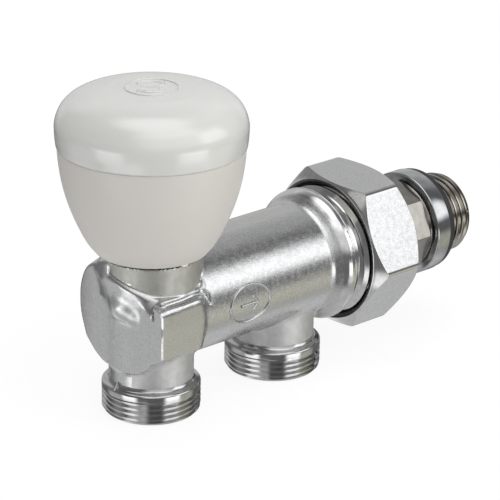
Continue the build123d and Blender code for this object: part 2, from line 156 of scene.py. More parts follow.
def forging_field(x, y, z, bores=True):
    """Signed distance, roughly, of the hot-stamped body without its machined thread rings."""
    rho = np.sqrt(y * y + (z - ZC) ** 2)
    # barrel with its flare; the front lobe is a little fuller
    rb = interp(x, [-12, -7, 5, 46.2, 46.9, 47.6, 48.3, 49.0, 49.7, 50.3, 51.0, 60],
                [14.85, 14.75, 14.05, 14.05, 14.12, 14.42, 14.98, 15.62, 16.15, 16.5, 16.78, 16.84])
    land = z - (ZC + 13.93)
    barrel = smax(rho - rb, np.where(x < 46, land, -5.0), 0.12)
    barrel = smax(barrel, x - 52.3, 0.15)
    # roof under the turned band: lower on the near half, full barrel radius on the far half
    ay = np.abs(y)
    ztop = interp(y, [-16, -13.6, -12, -10, -8, -5.4, -2.8, 0, 3], [31.2, 32.1, 32.7, 33.3, 34.4, 35.5, 36.5, 37.3, 37.6])
    lobe = smax(barrel, -smax(ztop - z, smax(x - 6.0, y - 0.8, 0.4), 2.4), 1.0)
    # the roof runs out to the front face over a broad rounded corner
    corner = -0.80 * (x + 10.4) + 0.60 * (z - 30.0) - 0.45 * (np.clip(y, -10.8, 0) + 10.0)
    lobe = smax(lobe, corner, 2.2)
    # raised side pads with squared lower shoulders
    side = ay - (PAD_Y - 0.04 * (x + 10.4))
    low = ay * 0.4785 - z * 0.878 + 9.772
    top = (z - 31.5) * 0.92 + (ay - PAD_Y) * 0.39
    right = np.sqrt(np.clip(x - 0.4, 0, None) ** 2 + (0.45 * (z - 25.2)) ** 2) - 4.7
    right = right * 0.94 + (ay - PAD_Y + 0.6) * 0.34
    far = np.where(y > 0, (ay - PAD_Y) * 0.7071 + (-(x + 7.4)) * 0.7071, -9.0)
    block = smax(side, low, 0.30)
    block = smax(block, top, 1.5)
    block = smax(block, right, 1.5)
    block = smax(block, far, 0.6)
    block = smax(block, rho - 17.2, 0.6)
    block = smax(block, np.where(y < 0, 11.7 - ay, -9.0), 0.9)
    head = smin(lobe, block, 0.7)
    t = np.clip((x + 4.0) / 10.0, 0, 1)
    head = smax(head, 12.75 - z - 1.3 * t * t * (3 - 2 * t), 0.8)
    # the boss swells out of the front face under the turned band and dies away below
    rz = np.sqrt(x * x + y * y)
    band = np.maximum(rz - 12.2, np.maximum(z - 40.5, 30.0 - z))
    rbul = interp(z, [18, 21, 23, 25, 27, 29, 31, 33, 35, 37, 44], [7.0, 8.6, 9.7, 10.6, 11.4, 12.1, 12.6, 12.9, 13.0, 13.0, 13.0])
    rbul = rbul - interp(y, [-3.5, 3.5], [0, 1]) * interp(z, [25, 27, 31, 34, 36], [0.6, 0.9, 1.2, 0.8, 0])
    roof = np.where(y < 0.8, z - ztop, rho - 14.05)
    bulge = smax(rz - rbul, roof, 1.0)
    bulge = smax(bulge, 19.0 - z, 2.0)
    # the near part of the front face falls back a little
    off = np.clip(3.0 - y, 0, None)
    xf = -10.45 + 0.045 * off * off / (off + 1.5) + 0.012 * np.clip(y - 8.6, 0, None) ** 2
    head = smax(head, xf - x, 0.28)
    d = smin(head, bulge, interp(z, [20, 27, 30, 33, 37, 41], [0.8, 0.9, 1.3, 1.4, 1.2, 0.8]))
    # a nose runs down across the face from the boss and ends in a blunt tip
    nose = None
    for p, q in zip(NOSE[:-1], NOSE[1:]):
        px, py, pz, pr = p
        ux, uy, uz = q[0] - px, q[1] - py, q[2] - pz
        tt = np.clip(((x - px) * ux + (y - py) * uy + (z - pz) * uz) / (ux * ux + uy * uy + uz * uz), 0, 1)
        seg = np.sqrt((x - px - tt * ux) ** 2 + (y - py - tt * uy) ** 2 + (z - pz - tt * uz) ** 2) - (pr + (q[3] - pr) * tt)
        nose = seg if nose is None else smin(nose, seg, 1.6)
    nose = smax(nose, roof, 1.4)
    d = smin(d, nose, 1.1)
    # a small channel sets the near pad off from the boss and curls down its right end
    chan = None
    for p, q in zip(CHANNEL[:-1], CHANNEL[1:]):
        px, py, pz, pr = p
        ux, uy, uz = q[0] - px, q[1] - py, q[2] - pz
        tt = np.clip(((x - px) * ux + (y - py) * uy + (z - pz) * uz) / (ux * ux + uy * uy + uz * uz), 0, 1)
        seg = np.sqrt((x - px - tt * ux) ** 2 + (y - py - tt * uy) ** 2 + (z - pz - tt * uz) ** 2) - (pr + (q[3] - pr) * tt)
        chan = seg if chan is None else np.minimum(chan, seg)
    d = smax(d, -chan, 0.6)
    d = smin(d, band, 0.35)
    # port necks
    for cx in (0.0, PITCH_PORTS):
        rn = np.sqrt((x - cx) ** 2 + y * y)
        neck = smax(rn - 10.3, np.maximum(7.0 - z, z - 25.0), 0.2)
        d = smin(d, neck, 1.1)
    if bores:
        cut = None
        def sub(c):
            nonlocal d
            d = smax(d, -c, 0.12)
        rz0 = rz
        sub(smax(rz0 - 8.0, z - 9.5, 0.1))
        sub(np.maximum(rz0 - 6.0, z - 17.0))
        sub(np.maximum(rz0 - 5.0, z - 22.5))
        chamber = np.maximum(rz0 - 8.6, np.maximum(20.6 - z, z - 33.2))
        ring = np.maximum(rz0 - 6.4, z - 21.5)
        chamber = np.maximum(chamber, -ring)
        sub(chamber)
        sub(np.maximum(rz0 - 9.0, 33.0 - z))
        sub(np.maximum(rz0 - 10.3, 39.2 - z))
        sub(np.maximum(rz0 - 11.1, 40.5 - z))
        r1 = np.sqrt((x - PITCH_PORTS) ** 2 + y * y)
        sub(smax(r1 - 8.0, z - 9.5, 0.1))
        sub(np.maximum(r1 - 6.5, z - 22.0))
        sub(np.maximum(rho - 6.05, np.maximum(4.0 - x, x - 18.5)))
        sub(np.maximum(rho - 10.9, 17.5 - x))
    return d


def surface_net(field, lo, hi, cell, steps=6):
    """Closed mesh of field = 0 inside the box lo..hi."""
    n = [int(math.ceil((h - l) / cell)) + 1 for l, h in zip(lo, hi)]
    ax = [l + cell * np.arange(k) for l, k in zip(lo, n)]
    D = np.empty(n, np.float32)
    for i0 in range(0, n[0], 24):
        X, Y, Z = np.meshgrid(ax[0][i0:i0 + 24], ax[1], ax[2], indexing="ij")
        D[i0:i0 + 24] = field(X, Y, Z)
    inside = D < 0
    cells = np.array(n) - 1
    acc = np.zeros(list(cells) + [3], np.float32)
    cnt = np.zeros(list(cells), np.int16)

    def corner(dx, dy, dz):
        return D[dx:dx + cells[0], dy:dy + cells[1], dz:dz + cells[2]]

    offs = [(0, 0, 0), (1, 0, 0), (0, 1, 0), (1, 1, 0), (0, 0, 1), (1, 0, 1), (0, 1, 1), (1, 1, 1)]
    edges = [(a, b) for a in range(8) for b in range(a + 1, 8)
             if sum(abs(p - q) for p, q in zip(offs[a], offs[b])) == 1]
    for a, b in edges:
        da, db = corner(*offs[a]), corner(*offs[b])
        m = (da < 0) != (db < 0)
        t = np.where(m, da / np.where(m, da - db, 1), 0)
        pa, pb = np.array(offs[a], float), np.array(offs[b], float)
        for k in range(3):
            acc[..., k] += np.where(m, pa[k] + t * (pb[k] - pa[k]), 0)
        cnt += m
    act = cnt > 0
    idx = -np.ones(list(cells), np.int64)
    idx[act] = np.arange(act.sum())
    ijk = np.argwhere(act)
    pos = (ijk + acc[act] / cnt[act][:, None]) * cell + np.array(lo)
    quads = []
    for axis in range(3):
        sl_a = [slice(None)] * 3
        sl_b = [slice(None)] * 3
        sl_a[axis], sl_b[axis] = slice(0, -1), slice(1, None)
        ia, ib = inside[tuple(sl_a)], inside[tuple(sl_b)]
        cross = np.argwhere(ia != ib)
        u, w = [(1, 2), (2, 0), (0, 1)][axis]
        ok = (cross[:, u] > 0) & (cross[:, w] > 0) & (cross[:, u] < n[u] - 1) & (cross[:, w] < n[w] - 1)
        cross = cross[ok]
        flip = ia[tuple(cross.T)]

        def at(du, dw):
            c = cross.copy()
            c[:, u] -= du
            c[:, w] -= dw
            return idx[tuple(c.T)]
        q = np.stack([at(1, 1), at(0, 1), at(0, 0), at(1, 0)], 1)
        q[~flip] = q[~flip][:, ::-1]
        quads.append(q)
    quads = np.concatenate(quads)
    # pull the points onto the surface
    h = 0.02
    for s in range(steps):
        x, y, z = pos.T
        d = field(x, y, z)
        g = np.stack([field(x + h, y, z) - field(x - h, y, z),
                      field(x, y + h, z) - field(x, y - h, z),
                      field(x, y, z + h) - field(x, y, z - h)], 1) / (2 * h)
        g2 = np.maximum((g * g).sum(1), 0.2)
        step = -(d / g2)[:, None] * g
        ln = np.linalg.norm(step, axis=1)
        step *= np.minimum(1, 0.6 * cell / np.maximum(ln, 1e-9))[:, None]
        pos = pos + step
        if s < steps - 2:
            # even the points out along the surface
            nb = np.zeros_like(pos)
            c = np.zeros(len(pos))
            for a, b in ((0, 1), (1, 2), (2, 3), (3, 0)):
                np.add.at(nb, quads[:, a], pos[quads[:, b]])
                np.add.at(nb, quads[:, b], pos[quads[:, a]])
                np.add.at(c, quads[:, a], 1)
                np.add.at(c, quads[:, b], 1)
            mean = nb / np.maximum(c, 1)[:, None]
            nrm = g / np.sqrt(g2)[:, None]
            mv = mean - pos
            mv -= (mv * nrm).sum(1)[:, None] * nrm
            pos = pos + 0.5 * mv
    return pos, quads


def threaded(name, pre, post, a0, a1, r0, r1, pitch, crest, depth, run0, run1, axis="z",
             seg=192, centre=(0.0, 0.0), hand=1.0, sharp=32.0, flat=0.10, root=0.07):
    """Closed turned section with a real helix between a0 and a1. pre ends and post starts on those circles."""
    ph = np.array([0.0, flat, flat + 0.13, flat + 0.26, 0.5 - root, 0.5, 0.5 + root,
                   1 - flat - 0.26, 1 - flat - 0.13, 1 - flat])
    hgt = np.interp(ph, [0, flat, 0.5 - root, 0.5 + root, 1 - flat, 1], [1, 1, 0, 0, 1, 1])
    turns = int(math.ceil((a1 - a0) / pitch)) + 2
    arow = np.concatenate([(k + ph) * pitch for k in range(-1, turns)]) + a0 - pitch * 0.5
    hrow = np.tile(hgt, turns + 1)
    k = len(ph)
    th = np.linspace(0, 2 * math.pi, seg + 1)
    shift = hand * pitch * th / (2 * math.pi)
    if hand < 0:
        shift = shift + pitch
    a = np.clip(arow[:, None] + shift[None, :], a0, a1)
    r = (crest - depth) + depth * hrow[:, None] + 0 * a
    floor0 = np.interp(a, [a0, a0 + run0], [r0, crest - depth]) if r0 > crest - depth else np.full_like(a, crest - depth)
    floor1 = np.interp(a, [a1 - run1, a1], [crest - depth, r1]) if r1 > crest - depth else np.full_like(a, crest - depth)
    r = np.maximum(r, np.maximum(floor0, floor1))
    ceil0 = r0 + (a - a0) * 1.0
    ceil1 = r1 + (a1 - a) * 1.0
    r = np.minimum(r, np.minimum(np.maximum(ceil0, r0), np.maximum(ceil1, r1)))
    r = np.where(a <= a0 + 1e-9, r0, r)
    r = np.where(a >= a1 - 1e-9, r1, r)

    def fixed(pts):
        p = np.asarray(pts, float)
        return np.repeat(p[:, :1], seg + 1, 1), np.repeat(p[:, 1:2], seg + 1, 1)
    pa, pr = fixed(pre)
    qa, qr = fixed(post)
    A = np.concatenate([pa, a, qa])
    R = np.concatenate([pr, r, qr])
    T = np.repeat(th[None, :], len(A), 0)
    if axis == "z":
        xyz = np.stack([centre[0] + R * np.cos(T), centre[1] + R * np.sin(T), A], -1)
    else:
        xyz = np.stack([A, R * np.cos(T), ZC + R * np.sin(T)], -1)
    v, f = grid_mesh(xyz, False, True)
    return make_object(name, v, f, sharp)


def prism_ring(name, across, sides, turn_deg, corner_r, rows_fn, seg_flat=22, seg_corner=5, sharp=30.0):
    """Ring about the barrel axis whose outside is a rounded polygon.
    rows_fn(R) gives the list of (x, r, tag) along one side of the section for polygon radius R at that angle."""
    apo = across / 2
    th, rr = [], []
    step = 2 * math.pi / sides
    rc = apo / math.cos(step / 2)
    # rounded corner: circle of corner_r tangent to both flats
    cc = rc - corner_r / math.cos(step / 2)
    for i in range(sides):
        base = math.radians(turn_deg) + i * step          # corner direction
        # points round the corner
        for t in np.linspace(-step / 2, step / 2, seg_corner * 2 + 1):
            px = cc * math.cos(base) + corner_r * math.cos(base + t)
            py = cc * math.sin(base) + corner_r * math.sin(base + t)
            th.append(math.atan2(py, px)); rr.append(math.hypot(px, py))
        # points along the flat to the next corner
        a = np.array([cc * math.cos(base) + corner_r * math.cos(base + step / 2),
                      cc * math.sin(base) + corner_r * math.sin(base + step / 2)])
        nb = base + step
        b = np.array([cc * math.cos(nb) + corner_r * math.cos(nb - step / 2),
                      cc * math.sin(nb) + corner_r * math.sin(nb - step / 2)])
        for t in np.linspace(0, 1, seg_flat + 2)[1:-1]:
            p = a + (b - a) * t
            th.append(math.atan2(p[1], p[0])); rr.append(math.hypot(p[0], p[1]))
    cols = []
    tags = None
    for t, R in zip(th, rr):
        rows = rows_fn(R)
        tags = [q[2] for q in rows]
        cols.append([(q[0], q[1] * math.cos(t), ZC + q[1] * math.sin(t)) for q in rows])
    g = np.array(cols).transpose(1, 0, 2)
    v, f = grid_mesh(g, True, True)
    ob = make_object(name, v, f, sharp)
    return ob, tags, len(th)


def tag_faces(ob, fn):
    """fn(centre in mm, normal) -> material index."""
    for p in ob.data.polygons:
        c = p.center * 1000.0
        p.material_index = fn(c, p.normal)


# ------------------------------------------------------------------ materials
class Mat:
    def __init__(self, name):
        self.m = bpy.data.materials.new(name)
        self.m.use_nodes = True
        self.nt = self.m.node_tree
        self.nt.nodes.clear()
        self.out = self.nt.nodes.new("ShaderNodeOutputMaterial")
        self.b = self.nt.nodes.new("ShaderNodeBsdfPrincipled")
        self.nt.links.new(self.b.outputs[0], self.out.inputs[0])
        self.co = self.nt.nodes.new("ShaderNodeTexCoord").outputs["Object"]

    def set(self, **kw):
        names = {"color": "Base Color", "metal": "Metallic", "rough": "Roughness", "ior": "IOR",
                 "coat": "Coat Weight", "coat_rough": "Coat Roughness", "spec": "Specular IOR Level",
                 "sss": "Subsurface Weight", "sss_r": "Subsurface Radius", "sss_s": "Subsurface Scale",
                 "coat_ior": "Coat IOR", "aniso": "Anisotropic", "aniso_rot": "Anisotropic Rotation", "tint": "Specular Tint"}
        for k, v in kw.items():
            self.b.inputs[names[k]].default_value = v
        return self

    def node(self, kind, **kw):
        n = self.nt.nodes.new(kind)
        for k, v in kw.items():
            if hasattr(n, k):
                setattr(n, k, v)
            else:
                n.inputs[k.replace("_", " ")].default_value = v
        return n

    def link(self, a, b):
        self.nt.links.new(a, b)

    def stretched(self, sx, sy, sz):
        mp = self.node("ShaderNodeMapping")
        mp.inputs["Scale"].default_value = (sx, sy, sz)
        self.link(self.co, mp.inputs["Vector"])
        return mp.outputs[0]

    def noise(self, scale, detail=2.0, rough=0.5, vec=None, distortion=0.0):
        n = self.node("ShaderNodeTexNoise")
        n.inputs["Scale"].default_value = scale
        n.inputs["Detail"].default_value = detail
        n.inputs["Roughness"].default_value = rough
        n.inputs["Distortion"].default_value = distortion
        self.link(vec if vec is not None else self.co, n.inputs["Vector"])
        return n.outputs["Fac"]

    def ramp(self, fac, stops):
        r = self.node("ShaderNodeValToRGB")
        el = r.color_ramp.elements
        while len(el) > 1:
            el.remove(el[-1])
        el[0].position = stops[0][0]
        el[0].color = stops[0][1]
        for p, c in stops[1:]:
            e = el.new(p)
            e.color = c
        self.link(fac, r.inputs[0])
        return r.outputs["Color"]

    def range(self, fac, lo, hi, a=0.3, b=0.7):
        r = self.node("ShaderNodeMapRange")
        r.inputs["From Min"].default_value = a
        r.inputs["From Max"].default_value = b
        r.inputs["To Min"].default_value = lo
        r.inputs["To Max"].default_value = hi
        self.link(fac, r.inputs["Value"])
        return r.outputs["Result"]

    def bump(self, fac, dist, strength=1.0, prev=None):
        b = self.node("ShaderNodeBump")
        b.inputs["Strength"].default_value = strength
        b.inputs["Distance"].default_value = dist
        self.link(fac, b.inputs["Height"])
        if prev is not None:
            self.link(prev, b.inputs["Normal"])
        return b.outputs["Normal"]

    def color(self, sock):
        self.link(sock, self.b.inputs["Base Color"])
        return self

    def rough(self, sock):
        self.link(sock, self.b.inputs["Roughness"])
        return self

    def normal(self, sock):
        self.link(sock, self.b.inputs["Normal"])
        return self


def grey(v, t=(1, 1, 1)):
    return (v * t[0], v * t[1], v * t[2], 1.0)


def metal_blasted(name, lo, hi, r_lo, r_hi, grain=2600.0, bump=0.012, tint=(1, 1, 1), wave=0.02):
    """Bead-blasted plating: a fine grain of small dents over slow waves of the forging skin."""
    m = Mat(name).set(metal=1.0)
    g = m.noise(grain, 3.0, 0.62)
    g2 = m.noise(grain * 0.33, 2.0, 0.5)
    slow = m.noise(210.0, 3.0, 0.5)
    m.color(m.ramp(g, [(0.30, grey(lo, tint)), (0.70, grey(hi, tint))]))
    m.rough(m.range(g2, r_lo, r_hi))
    n = m.bump(slow, 0.00022 * wave * 10, 1.0)
    n = m.bump(g2, bump * 0.001 * 1.2, 1.0, n)
    n = m.bump(g, bump * 0.001, 1.0, n)
    m.normal(n)
    return m.m


def metal_turned(name, lo, hi, r_lo, r_hi, vec_scale, scale=900.0, bump=0.0015, tint=(1, 1, 1)):
    """Turned or polished plating with faint tool lines; vec_scale stretches the lines."""
    m = Mat(name).set(metal=1.0)
    v = m.stretched(*vec_scale)
    lines = m.noise(scale, 2.0, 0.5, v)
    spots = m.noise(520.0, 3.0, 0.55)
    m.color(m.ramp(spots, [(0.35, grey(lo, tint)), (0.65, grey(hi, tint))]))
    m.rough(m.range(lines, r_lo, r_hi))
    m.normal(m.bump(lines, bump * 0.001, 1.0))
    return m.m


def plastic(name, col, col2, rough_lo, rough_hi, coat=0.0, coat_rough=0.1, grain=1500.0, bump=0.004, ior=1.5, sss=0.12, coat_ior=1.5):
    m = Mat(name).set(metal=0.0, ior=ior, coat=coat, coat_rough=coat_rough, coat_ior=coat_ior, sss=sss, sss_s=0.004,
                      sss_r=(1.0, 0.85, 0.7))
    s = m.noise(60.0, 3.0, 0.5)
    g = m.noise(grain, 2.0, 0.5)
    m.color(m.ramp(s, [(0.35, (*col, 1)), (0.65, (*col2, 1))]))
    m.rough(m.range(g, rough_lo, rough_hi))
    m.normal(m.bump(g, bump * 0.001, 1.0))
    return m.m


def rubber(name, col=(0.018, 0.018, 0.019)):
    m = Mat(name).set(metal=0.0, ior=1.5)
    g = m.noise(1800.0, 3.0, 0.6)
    m.color(m.ramp(g, [(0.3, (*col, 1)), (0.7, (col[0] * 1.7, col[1] * 1.7, col[2] * 1.7, 1))]))
    m.rough(m.range(g, 0.38, 0.56))
    m.normal(m.bump(g, 0.000008, 1.0))
    return m.m


M = {}
M["blast"] = metal_blasted("blasted_chrome", 0.52, 0.70, 0.20, 0.31, bump=0.022, tint=(0.985, 0.99, 1.0))
M["satin"] = metal_blasted("satin_faces", 0.56, 0.66, 0.26, 0.36, grain=1900.0, bump=0.004, tint=(1.0, 0.995, 0.98), wave=0.005)
M["neck"] = metal_turned("satin_neck", 0.66, 0.74, 0.52, 0.62, (1, 1, 0.05), 700.0, 0.003)
M["boss"] = metal_blasted("smooth_boss", 0.57, 0.67, 0.24, 0.31, grain=1500.0, bump=0.004, tint=(0.99, 0.995, 1.0), wave=0.008)
M["band"] = metal_turned("satin_band", 0.54, 0.62, 0.48, 0.58, (1, 1, 0.05), 700.0, 0.003, tint=(1.0, 1.0, 0.93))
# Painted shade: a near-black copy of the turned chrome for the nut's mouth and bore, standing in for the shade inside
# the nut.
M["mouth"] = metal_turned("nut_mouth_painted_shade", 0.09, 0.14, 0.30, 0.42, (1, 0.05, 0.05), 1500.0, 0.002)
# Painted shade: the same turned chrome with a lower base colour, so the port rings and the flash line low by the table
# read darker.
M["chrome_z"] = metal_turned("turned_chrome_upright_painted_shade", 0.46, 0.54, 0.07, 0.16, (0.02, 0.02, 1), 2600.0, 0.0015)
M["chrome_x"] = metal_turned("turned_chrome_along", 0.60, 0.70, 0.07, 0.16, (1, 0.02, 0.02), 2600.0, 0.0015)
M["tail"] = metal_turned("tail_nickel", 0.40, 0.47, 0.10, 0.18, (1, 0.05, 0.05), 2200.0, 0.002, tint=(1.0, 0.945, 0.87))
M["tail_flats"] = metal_turned("tail_flats_nickel", 0.31, 0.37, 0.14, 0.22, (1, 0.05, 0.05), 2200.0, 0.002, tint=(1.0, 0.96, 0.89))
M["tail_flange"] = metal_turned("tail_flange_nickel", 0.44, 0.52, 0.06, 0.12, (1, 0.05, 0.05), 2200.0, 0.001, tint=(0.96, 0.98, 1.0))
M["cap"] = plastic("white_cap_gloss", (0.92, 0.92, 0.875), (0.94, 0.94, 0.895), 0.16, 0.20, coat=1.0, coat_rough=0.11, coat_ior=1.58, bump=0.001)
M["cup"] = plastic("white_cup_satin", (0.87, 0.835, 0.782), (0.89, 0.855, 0.80), 0.36, 0.46, bump=0.006)
M["brass"] = metal_turned("brass_turned", 0.55, 0.66, 0.18, 0.30, (1, 1, 1), 900.0, 0.002, tint=(1.0, 0.77, 0.42))
M["steel"] = metal_turned("stainless_steel", 0.45, 0.56, 0.2, 0.3, (1, 1, 1), 900.0, 0.002)
M["copper"] = metal_turned("copper_tube_drawn", 0.60, 0.70, 0.2, 0.32, (0.05, 1, 1), 1400.0, 0.002, tint=(1.0, 0.60, 0.44))
M["rubber"] = rubber("black_rubber")
M["ptfe"] = plastic("ptfe_white", (0.78, 0.78, 0.76), (0.80, 0.80, 0.78), 0.4, 0.5)


def dress(ob, *mats):
    zones = [p.material_index for p in ob.data.polygons]
    ob.data.materials.clear()
    for m in mats:
        ob.data.materials.append(m)
    ob.data.polygons.foreach_set("material_index", [z if z < len(mats) else 0 for z in zones])
    return ob


pieces = []


def place(ob, body, mats, nodes=()):
    dress(ob, *mats)
    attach(ob, body)
    if nodes:
        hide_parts(*nodes)
    pieces.append(ob)
    return ob


# ------------------------------------------------------------------ forged body
CELL = 0.36
pos, quads = surface_net(forging_field, (-14.9, -17.6, 6.0), (53.6, 17.6, 44.6), CELL)
forging = make_object("forged_body", pos, quads, 38.0)


def forging_zone(c, n):
    rho = math.hypot(c.y, c.z - ZC)
    hyp = max(math.hypot(c.x, c.y), 1e-6)
    if 12.0 < hyp < 12.3 and (n.x * c.x + n.y * c.y) / hyp > 0.985 and c.z > (36.6 if c.x < -10.9 else 32.4):
        return 5                                  # turned band under the knob
    if abs(c.x - FRONT_X) < 0.4 and -15.4 < c.y < -14.5 and 18.5 < c.z < 30.6 and abs(n.x) < 0.97 and abs(n.y) < 0.97:
        return 2                                  # worn edge of the near pad
    if FRONT_X - 0.12 < c.x < FRONT_X + 0.9 and n.x < -0.86:
        return 3                                  # flat front face
    if 14.2 < abs(c.y) < 15.2 and c.x < 5.6 and 18.8 < c.z < 31.6 and abs(n.y) > 0.985:
        return 1                                  # side pads
    if c.z < 19.0 and c.x > FRONT_X + 0.12 and abs(n.z) < 0.5 and min(math.hypot(c.x, c.y), math.hypot(c.x - PITCH_PORTS, c.y)) < 10.7:
        return 2
    if c.z > 22.0 and c.x < 7.5 and math.hypot(c.x, c.y) < 13.7 and (c.x < FRONT_X - 0.1 or c.z > 30.5):
        return 3                                  # boss, nose and the fillet under the turned band
    if c.z < 12.0 or (rho > 14.6 and c.z < 16.5 and abs(n.z) < 0.9):
        return 2                                  # necks
    if c.x > 49.2 and rho > 15.0:
        return 4                                  # polished lip of the collar
    if c.x < 46 and n.z > 0.995 and c.z > ZC + 13.8:
        return 1                                  # parting strip
    return 0


tag_faces(forging, forging_zone)
place(forging, "body", (M["blast"], M["satin"], M["neck"], M["boss"], M["chrome_x"], M["band"]), ("valve_body",))


# ------------------------------------------------------------------ port rings
def port_ring(name, cx):
    pre = [(7.45, 8.9), (7.45, 7.985), (3.0, 7.985), (0.55, 7.985), (0.12, 8.38), (0.0, 8.5), (0.0, 8.7),
           (0.0, 10.9), (0.02, 11.05), (0.09, 11.16), (0.18, 11.22)]
    post = [(6.3, 12.0), (7.25, 12.0), (7.38, 11.985), (7.52, 11.93), (7.66, 11.83), (7.80, 11.66), (7.92, 11.42),
            (7.98, 11.2), (8.03, 11.0), (8.12, 10.83), (8.28, 10.66), (8.5, 10.5), (8.8, 10.36), (9.15, 10.25),
            (9.15, 9.2)]
    return threaded(name, pre, post, 0.18, 6.1, 11.22, 12.0, 25.4 / 19, 12.0, 0.78, 0.0, 0.9,
                    axis="z", centre=(cx, 0.0))


for nm, cx in (("port_ring_front", 0.0), ("port_ring_rear", PITCH_PORTS)):
    # the port rings take the darker chrome, which paints in the shade they sit in near the table
    place(port_ring(nm, cx), "body", (M["chrome_z"],), ("valve_body",))

def on_shoulder(u, v, h):
    """Plane whose u runs down the shoulder of the front port ring on its outer side."""
    return (-(10.3 + 0.70 * u + 0.72 * h), v, 9.35 - 0.72 * u + 0.70 * h)


# ------------------------------------------------------------------ union end of the barrel
pre = [(61.5, 12.5), (60.6, 11.6), (59.9, 10.92), (58.5, 10.92), (51.2, 10.92), (51.2, 16.3), (51.98, 16.62), (52.03, 16.80),
       (52.09, 16.85), (52.16, 16.87), (52.40, 16.87), (52.47, 16.86), (52.54, 16.81), (52.62, 16.72),
       (53.38, 15.84), (53.46, 15.73), (53.50, 15.62), (53.50, 15.45), (53.52, 15.30), (53.60, 15.21), (53.72, 15.2), (54.85, 15.2),
       (54.97, 15.22), (55.05, 15.30)]
post = [(61.45, 16.5), (61.6, 16.45), (62.35, 15.68), (62.46, 15.55), (62.5, 15.4), (62.5, 13.62), (62.44, 13.5), (62.35, 13.38)]
union_end = threaded("union_end_thread", pre, post, 55.1, 61.4, 15.35, 16.5, 25.4 / 11, 16.5, 1.15, 0.0, 0.6, axis="x", seg=224)
place(union_end, "body", (M["chrome_x"],), ("valve_body",))


# ------------------------------------------------------------------ raised mark on the barrel
def on_barrel(u, v, h, xc=19.3, tc=math.radians(-2.7), R=14.05):
    """Plane (u along the barrel, v round it) wrapped on the near side, h above the skin."""
    t = tc + v / R
    return (xc + u, -(R + h) * math.cos(t), ZC + (R + h) * math.sin(t))


def wrapped_strip(name, line, half_w, height, closed, mapper, sink=0.35):
    """A raised bead along a plane curve, wrapped with mapper(u, v, h)."""
    pts = np.asarray(line, float)
    n = len(pts)
    rows = []
    for i in range(n):
        a = pts[(i - 1) % n] if closed or i > 0 else pts[i]
        b = pts[(i + 1) % n] if closed or i < n - 1 else pts[i]
        t = b - a
        t = t / max(np.linalg.norm(t), 1e-9)
        nrm = np.array([-t[1], t[0]])
        sec = [(-1.0, -sink), (-0.92, height * 0.25), (-0.6, height * 0.86), (-0.25, height), (0.25, height),
               (0.6, height * 0.86), (0.92, height * 0.25), (1.0, -sink)]
        rows.append([mapper(*(pts[i] + nrm * s * half_w), h) for s, h in sec])
    g = np.array(rows)
    v, f = grid_mesh(g, True, closed)
    f = list(f)
    m = g.shape[1]
    if not closed:
        f.append(tuple(range(m))[::-1])
        f.append(tuple((n - 1) * m + k for k in range(m)))
    return make_object(name, v, f, 50.0)


def circle_line(r, n=96, squash=1.0):
    return [(r * math.cos(t), squash * r * math.sin(t)) for t in np.linspace(0, 2 * math.pi, n, endpoint=False)]


place(wrapped_strip("port_flash_line", [(0.0, 0.25), (0.6, 0.12), (1.2, 0.0), (1.8, -0.1), (2.35, -0.18)], 0.17, 0.16, False,
                    lambda u, v, h: on_shoulder(u, v, h if h > -0.3 else -0.85)), "body", (M["chrome_z"],))

MARK_A, MARK_B = 6.3, 4.95
oval = [(MARK_A * math.cos(t), MARK_B * math.sin(t)) for t in np.linspace(0, 2 * math.pi, 120, endpoint=False)]
place(wrapped_strip("barrel_mark_ring", oval, 0.33, 0.42, True, on_barrel),
      "body", (M["blast"],))
arrow_tail = [(-2.9, -0.0), (-1.0, 0.0), (0.8, 0.0), (2.2, 0.0)]
place(wrapped_strip("barrel_mark_arrow_shaft", arrow_tail, 0.42, 0.34, False, on_barrel), "body", (M["blast"],))
head = [(1.0, 1.7), (1.7, 0.95), (2.5, 0.0), (1.7, -0.95), (1.0, -1.7)]
place(wrapped_strip("barrel_mark_arrow_head", head, 0.40, 0.35, False, on_barrel), "body", (M["blast"],))

# ------------------------------------------------------------------ union nut
HEX_TURN = 4.84


